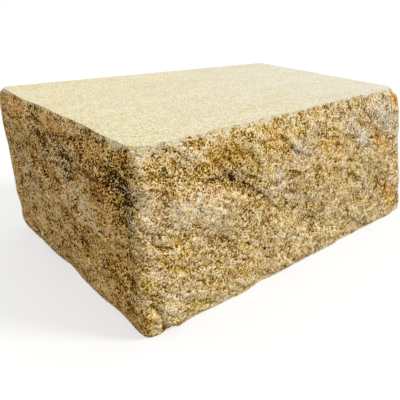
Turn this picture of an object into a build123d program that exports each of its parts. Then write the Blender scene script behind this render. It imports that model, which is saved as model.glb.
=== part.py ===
from build123d import *
from math import cos, exp, pi, sin
import os

# Wall end block: one piece of dry-pressed concrete. It was moulded flat, then split twice, so
# one long face and one end are broken rock and the other four faces are plain moulded ones.
# Millimetres. The origin is the middle of the underside, +Z is up, +X runs to the plain butt
# end, -X is the split end, -Y is the long split face and +Y is the plain back.

# Driving sizes, measured on the top, from the moulded faces to the broken edges
length = 340.0
depth = 182.0
height = 130.0

# Moulded edges and the broken upright corner
mould_ease = 1.2
corner_radius = 5.5

# How far each break runs out of plumb: what its foot stands out (+) or in (-) of its top
face_foot_at_corner = 9.5
face_foot_at_butt = 38.5
end_foot_at_corner = -3.5
end_foot_at_back = -6.0

# Crumbled edge above and below each break
arris_loss = 2.4
arris_band = 5.0

# Long rolling of the break: wave length and height of each wave
rolls = ((76.0, 0.9), (48.0, 0.6))

# Lumps (+) and hollows (-) of the long face: place as a fraction of its length from the
# corner and of the height, then half length, half height and amount in millimetres
face_lumps = (
    (0.11, 0.72, 14.0, 14.0, 2.6),
    (0.21, 0.85, 15.0, 11.0, -5.0),     # deep hollow under the top edge, near the corner
    (0.25, 0.71, 9.0, 8.0, -2.6),       # its tail, running down and away
    (0.18, 0.62, 18.0, 14.0, 3.4),
    (0.22, 0.36, 19.0, 8.0, -3.2),      # groove at mid height
    (0.29, 0.44, 11.0, 10.0, -2.6),
    (0.35, 0.66, 22.0, 16.0, 3.2),
    (0.43, 0.82, 20.0, 12.0, 2.6),
    (0.43, 0.52, 14.0, 12.0, -3.2),
    (0.48, 0.30, 24.0, 12.0, -2.8),
    (0.63, 0.60, 26.0, 16.0, 3.0),
    (0.77, 0.23, 22.0, 13.0, 3.0),
    (0.86, 0.30, 18.0, 13.0, -3.2),
    (0.91, 0.82, 24.0, 13.0, 4.2),      # boss under the top edge at the butt end
)

# The same on the split end, with the fraction counted from the corner to the back
end_lumps = (
    (0.07, 0.78, 8.0, 22.0, -3.0),      # upright hollow beside the corner, upper half
    (0.06, 0.42, 8.0, 20.0, -2.6),      # and lower down
    (0.20, 0.78, 12.0, 18.0, 3.2),
    (0.32, 0.94, 18.0, 8.0, -2.6),      # undercut just below the top edge
    (0.46, 0.77, 12.0, 14.0, -3.8),
    (0.48, 0.52, 18.0, 14.0, 3.2),
    (0.38, 0.30, 13.0, 12.0, -3.0),
    (0.62, 0.62, 11.0, 12.0, -2.6),
    (0.80, 0.88, 16.0, 12.0, 3.2),
    (0.82, 0.56, 16.0, 16.0, -2.4),
    (0.70, 0.20, 20.0, 12.0, 2.4),
)

# Shell-shaped chips knocked off three top corners, and a nick in the foot of the long face:
# radius of the scoop and how deep it bites
butt_chip_radius = 26.0
butt_chip_bite = 4.5
back_chip_radius = 24.0
back_chip_bite = 3.2
near_chip_radius = 22.0
near_chip_bite = 1.8
foot_nick_radius = 9.0
foot_nick_bite = 3.0
foot_nick_place = 18.0

# The broken surface is drawn through stations this far apart along the run and up the height,
# closer beside the upright corner, and overruns the block
run_station = 16.5
level_station = 14.0
corner_station = 7.0
overrun = 18.0
corner_shift_reach = 32.0

# Width of concrete broken away beyond the two split faces
waste = 44.0

corner_arc = corner_radius * pi / 4


def outline(run):
    """Plan point and distance from the corner along each face, at a run along the break.

    The run is negative on the split end, zero on the corner and positive on the long face.
    """
    past = abs(run) - corner_arc
    if past <= 0:
        turn = pi / 4 + run / corner_radius
        x = corner_radius * (1 - cos(turn)) - length / 2
        y = corner_radius * (1 - sin(turn)) - depth / 2
        return Vector(x, y, 0), 0.0, 0.0
    along = past + corner_radius
    if run > 0:
        return Vector(along - length / 2, -depth / 2, 0), along, 0.0
    return Vector(-length / 2, along - depth / 2, 0), 0.0, along


def lump_sum(lumps, along, level, reach):
    total = 0.0
    for place, rise, half_length, half_height, amount in lumps:
        across = (along - place * reach) / half_length
        up = (level - rise * height) / half_height
        total += amount * exp(-across * across - up * up)
    return total


def rolling(along, level, phase):
    total = 0.0
    for order, (wave, amount) in enumerate(rolls, start=1):
        swing = sin(2 * pi * (along + 0.55 * order * level) / wave + order + phase)
        total += amount * swing * cos(2 * pi * (level - 0.4 * along) / (1.3 * wave) + 2 * order)
    return total


def edge_crumble(level):
    below_top = max(height - level, 0.0) / arris_band
    above_bed = max(level, 0.0) / arris_band
    return arris_loss * (exp(-below_top ** 2) + exp(-above_bed ** 2))


def face_relief(along, level):
    """How far the long face stands out of the plumb plane below its top edge."""
    drop = 1 - min(max(level / height, 0.0), 1.0)
    foot = face_foot_at_corner + (face_foot_at_butt - face_foot_at_corner) * along / length
    return foot * drop + rolling(along, level, 0) + lump_sum(face_lumps, along, level, length)


def end_relief(along, level):
    """The same for the split end."""
    drop = 1 - min(max(level / height, 0.0), 1.0)
    foot = end_foot_at_corner + (end_foot_at_back - end_foot_at_corner) * along / depth
    return foot * drop + rolling(along, level, 2) + lump_sum(end_lumps, along, level, depth)


def fade(distance):
    """1 up to the corner, falling smoothly to 0 a little way along the other face."""
    share = min(max(distance / corner_shift_reach, 0.0), 1.0)
    return (1 + cos(pi * share)) / 2


def broken_point(run, level):
    place, face_along, end_along = outline(run)
    crumble = edge_crumble(level)
    x_out = (end_relief(end_along, level) - crumble) * fade(face_along - corner_radius)
    y_out = (face_relief(face_along, level) - crumble) * fade(end_along - corner_radius)
    return place - Vector(x_out, y_out, -level)


def break_surface():
    """One sheet that runs along the split end, round the corner and along the long face."""
    end_run = depth - corner_radius + corner_arc + overrun
    face_run = length - corner_radius + corner_arc + overrun
    beside = corner_arc + corner_station
    end_count = round((end_run - beside) / run_station)
    face_count = round((face_run - beside) / run_station)
    runs = [-end_run + (end_run - beside) * step / end_count for step in range(end_count + 1)]
    runs += [-corner_arc, 0.0, corner_arc]
    runs += [beside + (face_run - beside) * step / face_count for step in range(face_count + 1)]
    first, last = arris_band * 1.6, height - arris_band * 1.6
    steps = round((last - first) / level_station)
    levels = [-overrun / 2, 0.0, arris_band * 0.8]
    levels += [first + (last - first) * step / steps for step in range(steps + 1)]
    levels += [height - arris_band * 0.8, height, height + overrun / 2]
    ribs = [Wire([Spline(*[broken_point(run, level) for level in levels])]) for run in runs]
    return Shell.make_loft(ribs).face()


def scoop(corner, inward, radius, bite):
    """Ball that takes a shell-shaped chip out of a corner, from outside along one direction."""
    centre = corner - inward.normalized() * (radius - bite)
    return Pos(*centre) * Sphere(radius)


# The moulded piece before it was split, oversize on the two sides that are broken away
billet = Pos(-waste / 2, -waste / 2, height / 2) * Box(length + waste, depth + waste, height)
butt = billet.faces().sort_by(Axis.X)[-1]
back = billet.faces().sort_by(Axis.Y)[-1]
lost_edges = [butt.edges().sort_by(Axis.Y)[0], back.edges().sort_by(Axis.X)[0]]
moulded_edges = ShapeList(set(butt.edges() + back.edges())).filter_by(lambda edge: edge not in lost_edges)
billet = fillet(moulded_edges, mould_ease)

# The split: what lies inside the broken sheet is the block
halves = split(billet, bisect_by=break_surface(), keep=Keep.BOTH)
block = halves.solids().sort_by(SortBy.VOLUME)[-1]

# Chips
butt_corner = Vector(length / 2, -depth / 2 + arris_loss, height)
back_corner = Vector(-length / 2 + arris_loss, depth / 2, height)
near_corner = broken_point(0, height)
foot_edge = broken_point(foot_nick_place, 0)
block -= scoop(butt_corner, Vector(-0.036, 0.077, -0.111), butt_chip_radius, butt_chip_bite)
block -= scoop(back_corner, Vector(0.11, -0.035, -0.125), back_chip_radius, back_chip_bite)
block -= scoop(near_corner, Vector(0.5, 0.7, -1.0), near_chip_radius, near_chip_bite)
block -= scoop(foot_edge, Vector(0.1, 0.8, 0.7), foot_nick_radius, foot_nick_bite)

block = block.solids().sort_by(SortBy.VOLUME)[-1]
block.label = "wall_end_block"
os.makedirs("parts", exist_ok=True)
export_step(block, "parts/wall_end_block.step")
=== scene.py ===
import math

import bpy
import numpy as np
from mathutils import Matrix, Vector, noise


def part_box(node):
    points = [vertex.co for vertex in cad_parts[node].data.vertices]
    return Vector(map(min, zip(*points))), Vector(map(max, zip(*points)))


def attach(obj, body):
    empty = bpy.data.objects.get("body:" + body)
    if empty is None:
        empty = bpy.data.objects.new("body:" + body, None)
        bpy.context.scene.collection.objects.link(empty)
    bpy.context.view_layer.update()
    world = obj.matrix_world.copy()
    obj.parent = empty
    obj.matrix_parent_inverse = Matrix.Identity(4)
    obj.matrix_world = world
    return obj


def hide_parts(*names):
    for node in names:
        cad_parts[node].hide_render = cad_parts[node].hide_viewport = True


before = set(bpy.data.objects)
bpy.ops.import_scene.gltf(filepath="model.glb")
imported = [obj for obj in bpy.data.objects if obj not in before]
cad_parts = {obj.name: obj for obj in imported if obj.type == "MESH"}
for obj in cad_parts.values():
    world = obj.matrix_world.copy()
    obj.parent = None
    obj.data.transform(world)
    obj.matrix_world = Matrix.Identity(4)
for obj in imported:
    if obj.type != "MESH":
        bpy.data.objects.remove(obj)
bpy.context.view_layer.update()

MM = 0.001


def linear(hex_colour):
    """Linear RGBA from an sRGB hex value."""
    parts = [int(hex_colour[i:i + 2], 16) / 255 for i in (1, 3, 5)]
    return [c / 12.92 if c <= 0.04045 else ((c + 0.055) / 1.055) ** 2.4 for c in parts] + [1.0]


def add_node(owner, kind, inputs=None, **settings):
    """Adds one shader node to a material or the world.

    Settings are the node's own values. Inputs go by name or number and take a link or a value.
    """
    node = owner.node_tree.nodes.new(kind)
    for name, value in settings.items():
        setattr(node, name, value)
    for name, source in (inputs or {}).items():
        if isinstance(source, bpy.types.NodeSocket):
            owner.node_tree.links.new(source, node.inputs[name])
        else:
            node.inputs[name].default_value = source
    return node


def seen_straight(backdrop):
    """1 where the camera sees a backdrop itself, in gloss or through glass, and 0 for its light."""
    ray = add_node(backdrop, "ShaderNodeLightPath").outputs
    shown = add_node(backdrop, "ShaderNodeMath", {0: ray["Is Camera Ray"], 1: ray["Is Glossy Ray"]},
                     operation="ADD")
    return add_node(backdrop, "ShaderNodeMath", {0: shown.outputs[0], 1: ray["Is Transmission Ray"]},
                    operation="ADD", use_clamp=True).outputs[0]


def only(piece):
    """Makes one object the only one selected, and active."""
    bpy.ops.object.select_all(action="DESELECT")
    piece.select_set(True)
    bpy.context.view_layer.objects.active = piece


# The block's planes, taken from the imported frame, and its upright corner before it crumbled
NODE = "wall_end_block"
LENGTH, DEPTH = 340 * MM, 182 * MM
low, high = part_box(NODE)
top_z, bed_z = high[2], low[2]
butt_x, back_y = high[0], high[1]
corner_x, corner_y = butt_x - LENGTH, back_y - DEPTH

# 1. The block: a closed skin fine enough for the grain of the break
VOXEL = 1.0 * MM
SEAM = 0.002 * MM        # points of the node's loose triangles that are this close are joined
FLAT = 0.02 * MM         # a face this close to a moulded plane is part of it
SQUARE_ON = 0.999        # if its normal also agrees with the plane's this well
FLANGE = 6 * MM          # the flat faces are run out by this, roughened with the rest and cut off again

only(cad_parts[NODE])
bpy.ops.object.duplicate()
block = bpy.context.active_object
block.name = "split_face_block"
block.data.name = "split_face_block"
bpy.ops.object.mode_set(mode="EDIT")
bpy.ops.mesh.select_all(action="SELECT")
bpy.ops.mesh.remove_doubles(threshold=SEAM)
bpy.ops.mesh.select_mode(type="FACE")
bpy.ops.mesh.select_all(action="DESELECT")
bpy.ops.object.mode_set(mode="OBJECT")

# The top, the underside, the butt end and the back: a point of each and the way it faces
moulded_planes = (
    (Vector((0, 0, top_z)), Vector((0, 0, 1))),
    (Vector((0, 0, bed_z)), Vector((0, 0, -1))),
    (Vector((butt_x, 0, 0)), Vector((1, 0, 0))),
    (Vector((0, back_y, 0)), Vector((0, 1, 0))),
)
for point, facing in moulded_planes:
    for polygon in block.data.polygons:
        level_with_it = abs((polygon.center - point).dot(facing)) < FLAT
        polygon.select = level_with_it and polygon.normal.dot(facing) > SQUARE_ON
    bpy.ops.object.mode_set(mode="EDIT")
    bpy.ops.mesh.extrude_region_move(TRANSFORM_OT_translate={"value": facing * FLANGE})
    bpy.ops.mesh.select_all(action="DESELECT")
    bpy.ops.object.mode_set(mode="OBJECT")
block.data.remesh_voxel_size = VOXEL
bpy.ops.object.voxel_remesh()

# The split breaks into long flakes. They lie level on the end, and on the long face they fall away
# from the upright corner, steeply beside it and hardly at all at the butt. The points that face
# the split end or the long face are the broken ones. They move less beside the edges of the
# moulded faces, where the moulded skin holds.
FLAKES = ((18 * MM, 0.19), (6.5 * MM, 0.40), (2.8 * MM, 0.46))      # width and steepness
FACE_FALL, FACE_LEVELLING = 0.6, 0.85    # mean fall beside the corner, and what each metre takes off it
FLAKE_STRETCH = 2.2                      # a flake's length over its width
LEAN = -0.3                              # a broken point's normal leans past this to the end or front
TURNED_AWAY = 0.35                       # and stays below this towards the butt and the back
FIRM = 7 * MM                            # the break is at its full roughness this far from the edges
FIRM_SHARE = 0.15                        # and has this share of it on the edges themselves

# Open cracks of the long face, in millimetres: the places that each one passes, along the face
# from the corner and up from the bed, then its half width and its depth
CRACKS = (
    (((11, 75), (12, 69), (16, 66), (24, 63)), 1.7, 2.2),
    (((8, 27), (13, 20), (16, 12), (17, 3)), 2.2, 3.2),
    (((66, 107), (73, 101), (81, 94)), 3.0, 2.4),
    (((46, 41), (56, 37), (64, 37)), 2.4, 1.8),
)


def point_values(name):
    """The places or normals of the block's points, one row each."""
    values = np.empty(len(block.data.vertices) * 3)
    block.data.vertices.foreach_get(name, values)
    return values.reshape(-1, 3)


def joined_points():
    """The two end points of each edge of the block's mesh, one row an edge."""
    pairs = np.empty(len(block.data.edges) * 2, dtype=int)
    block.data.edges.foreach_get("vertices", pairs)
    return pairs.reshape(-1, 2)


def smoothed(values, rounds):
    """Each point's row of values, averaged with its neighbours' over and over."""
    pairs = joined_points()
    count = np.bincount(pairs.ravel(), minlength=len(values))[:, None]
    for step in range(rounds):
        total = np.zeros_like(values)
        np.add.at(total, pairs[:, 0], values[pairs[:, 1]])
        np.add.at(total, pairs[:, 1], values[pairs[:, 0]])
        values = 0.5 * values + 0.5 * total / count
    return values


def lying(places):
    """Places unrolled round the upright corner, drawn out along the way that the flakes lie."""
    run = places[:, 0] - corner_x - (places[:, 1] - corner_y)
    fall = run * np.where(run > 0, FACE_FALL - FACE_LEVELLING * run, 0)
    return np.column_stack((run / FLAKE_STRETCH, places[:, 2] + fall, 0 * run))


def flakes(places, size):
    """Rise of a surface broken into flat flakes of one size, each tilted its own way."""
    rise = np.zeros((len(places), 1))
    for row, place in enumerate(places):
        spot = Vector(place) / size
        middle = noise.voronoi(spot)[1][0]
        rise[row] = (noise.cell_vector(middle) - Vector((0.5, 0.5, 0.5))).dot(spot - middle)
    return rise * size


def from_path(path, along, level):
    """Distance of each point of the long face from a line of straight stretches drawn on it."""
    gap = np.full(len(along), np.inf)
    for (start, foot), (end, head) in zip(path, path[1:]):
        across, up = end - start, head - foot
        passed = ((along - start) * across + (level - foot) * up) / (across ** 2 + up ** 2)
        passed = np.clip(passed, 0, 1)
        gap = np.minimum(gap, np.hypot(along - start - passed * across, level - foot - passed * up))
    return gap


outward, spot = point_values("normal"), point_values("co")
faces_end, faces_front = outward[:, 0] < LEAN, outward[:, 1] < LEAN
broken = (outward[:, 0] < TURNED_AWAY) & (outward[:, 1] < TURNED_AWAY) & (faces_end | faces_front)
to_edges = (top_z - spot[:, 2], spot[:, 2] - bed_z, butt_x - spot[:, 0], back_y - spot[:, 1])
share = np.clip(np.min(to_edges, axis=0) / FIRM, 0, 1)
share = broken * (FIRM_SHARE + (1 - FIRM_SHARE) * share * share * (3 - 2 * share))
rise = np.zeros((len(spot), 1))
for size, steepness in FLAKES:
    rise[broken] += steepness * flakes(lying(spot[broken]), size)
rise = smoothed(rise, 1) * share[:, None]
along, level = (spot[:, 0] - corner_x) / MM, (spot[:, 2] - bed_z) / MM
for path, half_width, depth in CRACKS:
    opening = np.clip(1 - from_path(path, along, level) / half_width, 0, 1) * broken * faces_front
    rise -= opening[:, None] * depth * MM
spot += outward * rise
block.data.vertices.foreach_set("co", spot.ravel())
block.data.update()

# The mould: a plain box with eased edges, open past the two broken sides, cuts the flat faces
EASE = 1.2 * MM
OPEN_SIDES = 60 * MM
reach = Vector((butt_x - low[0] + OPEN_SIDES, back_y - low[1] + OPEN_SIDES, top_z - bed_z))
bpy.ops.object.select_all(action="DESELECT")
bpy.ops.mesh.primitive_cube_add(size=1, location=Vector((butt_x, back_y, top_z)) - reach / 2, scale=reach)
mould = bpy.context.active_object
bpy.ops.object.transform_apply(location=True, rotation=True, scale=True)
bpy.ops.object.mode_set(mode="EDIT")
bpy.ops.mesh.select_all(action="DESELECT")
bpy.ops.object.mode_set(mode="OBJECT")
for edge in mould.data.edges:
    ends = [mould.data.vertices[i].co for i in edge.vertices]
    on_butt = all(abs(end.x - butt_x) < MM for end in ends)
    on_back = all(abs(end.y - back_y) < MM for end in ends)
    edge.select = on_butt or on_back
bpy.ops.object.mode_set(mode="EDIT")
bpy.ops.mesh.select_mode(type="EDGE")
bpy.ops.mesh.bevel(offset=EASE, segments=3, affect="EDGES")
bpy.ops.object.mode_set(mode="OBJECT")
only(block)
cut = block.modifiers.new("mould", "BOOLEAN")
cut.operation = "INTERSECT"
cut.solver = "MANIFOLD"
cut.object = mould
bpy.ops.object.modifier_apply(modifier="mould")
bpy.data.objects.remove(mould)

bpy.ops.object.mode_set(mode="EDIT")
bpy.ops.mesh.select_all(action="SELECT")
bpy.ops.mesh.quads_convert_to_tris(quad_method="BEAUTY", ngon_method="BEAUTY")
bpy.ops.object.mode_set(mode="OBJECT")

# 2. What the material reads from the mesh, one value for each point or face. "broken" is 1 on the
# two split faces and 0 on the moulded ones. "pit" is how far a point lies below its near
# neighbours, "dell" below its wide ones; both give the grit painted shade in pits and hollows, and
# bosses a little painted light. "below" is millimetres below the top, cut down where the crumbled
# rim is wide. "lying" is the place unrolled round the corner and drawn out along the flakes.
# "lighter", "greyer" and "harsher" are the patches of the break and how hard its grain shows;
# "lighter" and "greyer" also carry painted shade beside the upright corner and over the split end.
NEAR_ROUNDS, WIDE_ROUNDS = 3, 60         # rounds of smoothing that give the two kinds of neighbours
BORDER_ROUNDS = 4                        # and those that soften the patches' borders
# pits and dells give the grit its painted shade, and bosses a little painted light
PIT_DEPTH, DELL_DEPTH = 0.3 * MM, 1.2 * MM
BOSS_PAINTED_LIGHT = -0.3                        # a boss counts as a dell of this much at most
RIM = 4                                  # pits and dells fade in over this many millimetres
CORNER_RIM, BUTT_RIM = 34 * MM, 60 * MM  # reach of the wide crumbled rim from the corner and the butt
RIM_GAIN, BUTT_SHARE = 0.62, 0.7         # share of the depth that it takes off, and its share at the butt

# Patches of the break: millimetres along the face from the corner and up from the bed, half
# length, half height, then lighter (+) or darker (-), and greyer (+) or rustier (-)
face_patches = (
    # painted shade: the first patch darkens a strip of the long face beside the lower half of the upright
    # corner
    (0, 36, 6, 38, -0.22, -0.4),
    (16, 124, 9, 5, 0.06, 0.6),
    (36, 122, 9, 6, -0.10, 0.8),
    (48, 127, 9, 3, -0.22, 0.0),
    (9, 108, 10, 14, -0.10, 0.2),
    (28, 108, 16, 8, -0.13, 0.0),
    (50, 108, 16, 8, -0.13, -0.3),
    (74, 97, 20, 9, -0.19, 0.2),
    (100, 84, 14, 8, -0.13, 0.2),
    (62, 118, 14, 7, -0.04, -0.8),
    (96, 104, 18, 9, -0.02, -0.8),
    (24, 90, 14, 8, 0.10, 0.4),
    (52, 80, 22, 10, 0.16, 0.5),
    (11, 80, 8, 14, 0.04, 0.6),
    (72, 50, 14, 6, -0.14, 0.3),
    (45, 33, 14, 6, -0.10, 0.2),
    (85, 38, 11, 6, -0.14, 0.0),
    (100, 56, 12, 8, -0.10, 0.1),
    (124, 82, 13, 9, 0.03, 0.7),
    (156, 100, 18, 9, 0.02, 1.3),
    (150, 74, 14, 8, -0.12, 0.1),
    (130, 110, 20, 10, 0.0, -0.8),
    (170, 42, 22, 8, -0.10, 0.4),
    (205, 74, 30, 18, 0.02, -0.5),
    (230, 112, 14, 7, 0.0, 1.3),
    (262, 92, 18, 9, 0.02, 1.4),
    (303, 106, 27, 16, 0.05, 1.5),
    (332, 121, 8, 7, -0.04, -2.2),
    (280, 34, 22, 9, -0.08, 0.9),
    (316, 22, 22, 12, -0.02, -1.8),
    (22, 30, 20, 14, 0.02, 0.2),
    (300, 78, 20, 9, -0.02, -1.4),
    (215, 96, 22, 12, 0.0, -0.8),
    (290, 60, 90, 90, -0.05, 0.0),
)
end_patches = (
    # painted shade: the first two patches darken a band of the end beside the upright corner
    (1, 40, 8, 42, -0.18, 1.5),
    (6, 92, 14, 18, -0.19, 2.0),
    (16, 106, 14, 12, -0.17, 1.0),
    (36, 102, 15, 9, -0.18, -0.3),
    (63, 104, 16, 9, -0.17, 1.2),
    (85, 97, 14, 9, -0.20, 2.0),
    (112, 106, 12, 9, -0.20, 1.0),
    (5, 20, 8, 12, -0.08, 0.3),
    (72, 49, 12, 7, -0.20, 0.4),
    (30, 40, 14, 7, -0.20, 0.2),
    (100, 76, 10, 8, -0.16, 0.0),
    (45, 126, 16, 4, -0.16, 0.2),
    (94, 119, 16, 7, 0.08, -0.9),
    (57, 72, 20, 9, 0.18, 1.0),
    (22, 62, 14, 9, 0.10, 0.0),
    (98, 48, 14, 9, 0.10, 0.8),
    (141, 116, 16, 10, 0.04, -0.9),
    (140, 70, 13, 12, 0.0, 1.4),
    (136, 32, 20, 12, 0.06, 0.2),
    (40, 16, 24, 10, 0.08, 0.2),
)
PATCH_FALL = 0.45                        # slope of the patches: away from the corner on the face,
                                         # towards it on the end
# painted shade: the whole split end is painted a little darker and rustier, as it shows in shade
END_PAINTED_SHADE = (-0.035, -1.8)               # the whole split end is a little darker and rustier
WANDER = ((18 * MM, 1.0), (7 * MM, 0.5)) # waves of the patches' ragged borders and their weights
WANDER_ALONG, WANDER_UP = 9, 7           # how far the borders wander, in millimetres
NOISE_SEED = 1                           # with no seed, they would wander another way in each run
FACE_HARSHNESS = (1.45, 0.0022)          # how hard the grain shows at the corner, and what each
END_HARSHNESS = (2.6, 0.010)             # millimetre away from it adds

noise.seed_set(NOISE_SEED)
spot = point_values("co")
mesh = block.data


def keep_values(name, values, kind="FLOAT", domain="POINT"):
    """Stores a number or a vector for each point or face under a name that the material reads."""
    field = "vector" if kind == "FLOAT_VECTOR" else "value"
    mesh.attributes.new(name, kind, domain).data.foreach_set(field, values.astype(np.float32).ravel())


centre = np.empty(len(mesh.polygons) * 3)
mesh.polygons.foreach_get("center", centre)
centre = centre.reshape(-1, 3)
split_open = (centre[:, 0] <= butt_x - EASE) & (centre[:, 1] <= back_y - EASE)
for point, facing in moulded_planes:
    split_open &= np.abs((centre - np.array(point)) @ np.array(facing)) > FLAT
keep_values("broken", split_open, domain="FACE")

near = smoothed(spot, NEAR_ROUNDS)
wide = smoothed(near, WIDE_ROUNDS)
outward = point_values("normal")
below = (top_z - spot[:, 2]) / MM
rim = np.clip(below / RIM, 0, 1)
# painted shade: how deep each point lies in a pit, and in a wider hollow
keep_values("pit", rim * np.clip(((near - spot) * outward).sum(axis=1) / PIT_DEPTH, -1, 1))
keep_values("dell", rim * np.clip(((wide - near) * outward).sum(axis=1) / DELL_DEPTH, BOSS_PAINTED_LIGHT, 1))
from_corner = np.hypot(spot[:, 0] - corner_x, spot[:, 1] - corner_y)
from_butt = butt_x - spot[:, 0]
wide_rim = np.exp(-(from_corner / CORNER_RIM) ** 2) + BUTT_SHARE * np.exp(-(from_butt / BUTT_RIM) ** 2)
keep_values("below", below * (1 - RIM_GAIN * wide_rim))
keep_values("lying", lying(spot), kind="FLOAT_VECTOR")

wander = np.zeros((len(spot), 3))
for wave, weight in WANDER:
    wander += weight * np.array([noise.noise_vector(Vector(place) / wave) for place in spot])
along_face = (spot[:, 0] - corner_x) / MM + WANDER_ALONG * wander[:, 0]
along_end = (spot[:, 1] - corner_y) / MM + WANDER_ALONG * wander[:, 1]
level = (spot[:, 2] - bed_z) / MM + WANDER_UP * wander[:, 2]
on_face = spot[:, 0] - corner_x > spot[:, 1] - corner_y
# the split end starts from its painted shade
shifts = np.outer(~on_face, END_PAINTED_SHADE)
for patches, along, here, fall in ((face_patches, along_face, on_face, PATCH_FALL),
                                   (end_patches, along_end, ~on_face, -PATCH_FALL)):
    for middle, height, half_length, half_height, *shift in patches:
        across = along - middle
        up = level - height + fall * across
        spread = np.exp(-(across / half_length) ** 2 - (up / half_height) ** 2)
        shifts += np.outer(spread * here, shift)
harshness = np.where(on_face, FACE_HARSHNESS[0] + FACE_HARSHNESS[1] * along_face,
                     END_HARSHNESS[0] + END_HARSHNESS[1] * along_end)
shifts = smoothed(np.column_stack((shifts, harshness)), BORDER_ROUNDS)
for column, name in enumerate(("lighter", "greyer", "harsher")):
    keep_values(name, shifts[:, column])

# 3. Concrete, buff, dry pressed. The mould leaves a close, matt, cream skin, faintly streaked and
# clouded, with a few pinholes painted as dark dots of shade. The split shows the sand and grit,
# each grain with its own tone from umber to cream, with painted shade in pits and hollows, and
# patches where the stone is greyer or rustier.
# The picture shows about 1 mm to the pixel, so sand finer than that wouldn't show: it is drawn at
# 1.1 mm and the small grit at 1.0 mm, as coarse as they need to be.
SAND, SMALL_GRIT, LARGE_GRIT = 1.1 * MM, 1.0 * MM, 2.9 * MM
BATCH = 7 * MM               # lighter and darker batches of grains, drawn out along the flakes
ASH = 11 * MM                # greyer and warmer ones
STREAK, STREAK_SHARE = 22 * MM, 0.3          # width of the skin's streaks, and that over their length
CLOUD = 16 * MM              # richer and paler clouds of the skin
AIR_HOLES, AIR_HOLE_SHARE = 11 * MM, 0.075   # one pinhole to each cell this wide, and its half width
MID_TONE = 0.60              # the ramp's place that harshness spreads the tones about
GRIT_TONES = (
    (0.0, "#2a1a09"),
    (0.175, "#4a3314"),
    (0.3, "#6b4e22"),
    (0.425, "#a98c58"),
    (0.525, "#c6a976"),
    (0.65, "#e0c594"),
    (0.8, "#f2dcae"),
    (1.0, "#fff3d6"),
)
SKIN_TONES = ((0.1, "#ccc098"), (0.9, "#f1e9cf"))
# painted shade: pinholes are dots of this darker colour, with no hole in the mesh
HOLE_SHADE_COLOUR = "#8a7850"
GRAIN_RELIEF = 0.5 * MM

concrete = bpy.data.materials.new("split_buff_concrete")
concrete.use_nodes = True
concrete.node_tree.nodes.clear()
place = add_node(concrete, "ShaderNodeTexCoord").outputs["Object"]
stored = {}
for name in ("broken", "pit", "dell", "below", "lighter", "greyer", "harsher"):
    stored[name] = add_node(concrete, "ShaderNodeAttribute", attribute_name=name).outputs["Fac"]
lying_place = add_node(concrete, "ShaderNodeAttribute", attribute_name="lying").outputs["Vector"]
streaky_place = add_node(concrete, "ShaderNodeMapping",
                         {"Vector": place, "Scale": (STREAK_SHARE, 1.0, 1.0)}).outputs[0]

# The patterns: grains and batches of them, then the skin's clouds, streaks and pinholes. The
# colour of each cell or cloud is three numbers of its own, and each number varies one thing.
noises = {}
for name, source, size, detail in (
    ("sand", place, SAND, 1.5),
    ("batches", lying_place, BATCH, 4.0),
    ("ash", lying_place, ASH, 4.0),
    ("clouds", place, CLOUD, 3.0),
    ("streaks", streaky_place, STREAK, 4.0),
):
    settings = {"Vector": source, "Scale": 1 / size, "Detail": detail}
    noises[name] = add_node(concrete, "ShaderNodeTexNoise", settings).outputs
cells = {}
for name, size in (("small", SMALL_GRIT), ("large", LARGE_GRIT), ("air", AIR_HOLES)):
    settings = {"Vector": place, "Scale": 1 / size}
    cells[name] = add_node(concrete, "ShaderNodeTexVoronoi", settings).outputs
sand, batches = noises["sand"]["Fac"], noises["batches"]["Fac"]
small_grain = add_node(concrete, "ShaderNodeSeparateColor", {0: cells["small"]["Color"]}).outputs
large_grain = add_node(concrete, "ShaderNodeSeparateColor", {0: cells["large"]["Color"]}).outputs
ash = add_node(concrete, "ShaderNodeSeparateColor", {0: noises["ash"]["Color"]}).outputs
rust = add_node(concrete, "ShaderNodeMath", {0: stored["greyer"], 1: 0.0}, operation="MINIMUM").outputs[0]
pinhole = add_node(concrete, "ShaderNodeMath", {0: cells["air"]["Distance"], 1: AIR_HOLE_SHARE},
                   operation="LESS_THAN").outputs[0]
towards_butt = add_node(concrete, "ShaderNodeSeparateXYZ", {0: place}).outputs["X"]

# What they add up to: a start, then each pattern and its weight
recipes = {
    # the grit's place on its ramp before its harshness is set, with painted shade from pits and
    # dells, then its saturation, hue and value
    "grit_tone": (-1.215, (sand, 1.45), (small_grain[0], 0.3), (large_grain[0], 0.14), (batches, 0.65),
                  (stored["lighter"], 0.65), (stored["pit"], -0.09), (stored["dell"], -0.08)),
    "grit_richness": (1.65, (small_grain[2], 0.3), (ash[0], -0.9), (stored["greyer"], -0.36)),
    "grit_hue": (0.465, (small_grain[1], 0.02), (ash[1], 0.04), (rust, 0.009)),
    "grit_value": (0.65, (small_grain[0], 0.26), (large_grain[0], 0.14)),
    # the skin's place on its ramp, its saturation, which falls towards the butt, and its relief
    "skin_tone": (-1.65, (sand, 2.8), (small_grain[0], 0.7), (large_grain[0], 0.3),
                  (noises["streaks"]["Fac"], 0.5)),
    "skin_richness": (0.6, (noises["clouds"]["Fac"], 0.7), (towards_butt, -1.3)),
    "skin_relief": (0.3, (sand, 0.35)),
    # how much of a pinhole's painted shade shows in it
    "hole_shade": (0.0, (pinhole, 0.6)),
    # how much of the skin still holds below the top edge, where it has crumbled over 2 to 6 mm,
    # and over more beside the upright corner and the butt
    "skin_held": (-0.9, (batches, 2.8), (large_grain[0], 0.7), (stored["below"], -0.27)),
}
mixed = {}
for name, (total, *patterns) in recipes.items():
    for pattern, weight in patterns:
        total = add_node(concrete, "ShaderNodeMath", {0: pattern, 1: weight, 2: total},
                         operation="MULTIPLY_ADD").outputs[0]
    mixed[name] = total
grit_tone = add_node(concrete, "ShaderNodeMath", {0: mixed["grit_tone"], 1: stored["harsher"], 2: MID_TONE},
                     operation="MULTIPLY_ADD").outputs[0]

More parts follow.
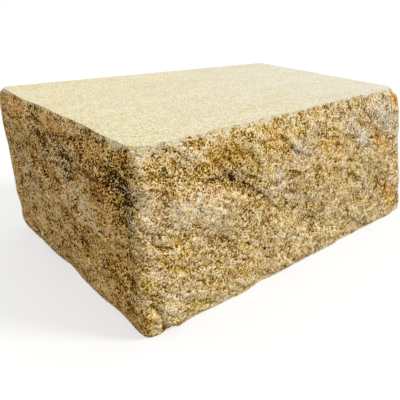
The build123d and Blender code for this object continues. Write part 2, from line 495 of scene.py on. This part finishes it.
ramps = []
for tone, tones in ((grit_tone, GRIT_TONES), (mixed["skin_tone"], SKIN_TONES)):
    ramp = add_node(concrete, "ShaderNodeValToRGB", {0: tone})
    stops = ramp.color_ramp.elements
    for position, colour in tones[1:-1]:
        stops.new(position).color = linear(colour)
    for stop, (position, colour) in ((stops[0], tones[0]), (stops[-1], tones[-1])):
        stop.position = position
        stop.color = linear(colour)
    ramps.append(ramp.outputs[0])
grit = add_node(concrete, "ShaderNodeHueSaturation",
                {"Color": ramps[0], "Hue": mixed["grit_hue"], "Saturation": mixed["grit_richness"],
                 "Value": mixed["grit_value"]}).outputs[0]
skin = add_node(concrete, "ShaderNodeHueSaturation",
                {"Color": ramps[1], "Saturation": mixed["skin_richness"]}).outputs[0]
skin = add_node(concrete, "ShaderNodeMix", {0: mixed["hole_shade"], 6: skin, 7: linear(HOLE_SHADE_COLOUR)},
                data_type="RGBA").outputs[2]
split = add_node(concrete, "ShaderNodeMix", {0: mixed["skin_held"], 6: grit, 7: skin},
                 data_type="RGBA").outputs[2]
colour = add_node(concrete, "ShaderNodeMix", {0: stored["broken"], 6: skin, 7: split},
                  data_type="RGBA").outputs[2]
relief = add_node(concrete, "ShaderNodeMix", {0: stored["broken"], 2: mixed["skin_relief"],
                                              3: cells["small"]["Distance"]}).outputs[0]
bump = add_node(concrete, "ShaderNodeBump", {"Height": relief, "Strength": 1.0, "Distance": GRAIN_RELIEF},
                invert=True).outputs[0]
shader = add_node(concrete, "ShaderNodeBsdfPrincipled",
                  {"Base Color": colour, "Roughness": 0.93, "IOR": 1.5, "Specular IOR Level": 0.2,
                   "Normal": bump}).outputs[0]
add_node(concrete, "ShaderNodeOutputMaterial", {"Surface": shader})
block.data.materials.clear()
block.data.materials.append(concrete)

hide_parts(NODE)
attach(block, "root")

# 4. Floor, sky and sun. The floor and the sky are white where they are seen, and give the block a
# plain soft light, so its colours render about as they are written.
FLOOR_SIZE, FLOOR_DROP = 8, 0.2 * MM
FLOOR_GREY, WHITE = "#9c9c9c", "#ffffff"
FLOOR_GLOW = 0.6             # how much of the floor's white is its own where it is seen
SKY_STRENGTH = 0.745
SUN_STRENGTH, SUN_SPREAD = 1.82, 14      # the second in degrees, for a soft shadow
SUN_SIDE = (0.42, -0.45, 0.50)

only(block)
bpy.ops.mesh.primitive_plane_add(size=FLOOR_SIZE, location=(0, 0, bed_z - FLOOR_DROP))
floor = bpy.context.active_object
floor.name = "studio_floor"
paper = bpy.data.materials.new("studio_white")
paper.use_nodes = True
paper.node_tree.nodes.clear()
seen = seen_straight(paper)
face = add_node(paper, "ShaderNodeMix", {0: seen, 6: linear(FLOOR_GREY), 7: linear(WHITE)},
                data_type="RGBA").outputs[2]
matt = add_node(paper, "ShaderNodeBsdfDiffuse", {0: face}).outputs[0]
glow = add_node(paper, "ShaderNodeEmission", {"Strength": seen}).outputs[0]
share = add_node(paper, "ShaderNodeMath", {0: seen, 1: FLOOR_GLOW}, operation="MULTIPLY").outputs[0]
sheet = add_node(paper, "ShaderNodeMixShader", {0: share, 1: matt, 2: glow}).outputs[0]
add_node(paper, "ShaderNodeOutputMaterial", {"Surface": sheet})
floor.data.materials.append(paper)

sky = bpy.data.worlds.new("studio")
bpy.context.scene.world = sky
sky.use_nodes = True
sky.node_tree.nodes.clear()
soft = add_node(sky, "ShaderNodeBackground", {"Color": linear(WHITE), "Strength": SKY_STRENGTH}).outputs[0]
white = add_node(sky, "ShaderNodeBackground", {"Color": linear(WHITE), "Strength": 1.0}).outputs[0]
shown = add_node(sky, "ShaderNodeMixShader", {0: seen_straight(sky), 1: soft, 2: white}).outputs[0]
add_node(sky, "ShaderNodeOutputWorld", {"Surface": shown})

bpy.ops.object.light_add(type="SUN")
sun = bpy.context.active_object
sun.name = "key_light"
sun.data.energy = SUN_STRENGTH
sun.data.angle = math.radians(SUN_SPREAD)
sun.rotation_euler = Vector(SUN_SIDE).to_track_quat("Z", "Y").to_euler()

# 5. The camera stands off the broken corner, a little above the block, and looks down past it
CAMERA_PLACE = Vector((-285.56, -253.37, 202.32)) * MM
CAMERA_TURN = (63.469, -3.288, -44.333)      # degrees about X, Y and Z, from looking straight down
SENSOR, FOCAL_LENGTH = 36, 36.41             # millimetres
bpy.ops.object.camera_add()
camera = bpy.context.active_object
camera.location = CAMERA_PLACE
camera.rotation_euler = [math.radians(angle) for angle in CAMERA_TURN]
camera.data.sensor_width = SENSOR
camera.data.lens = FOCAL_LENGTH
camera.data.clip_start = 10 * MM
bpy.context.scene.camera = camera
bpy.context.scene.view_settings.view_transform = "Standard"
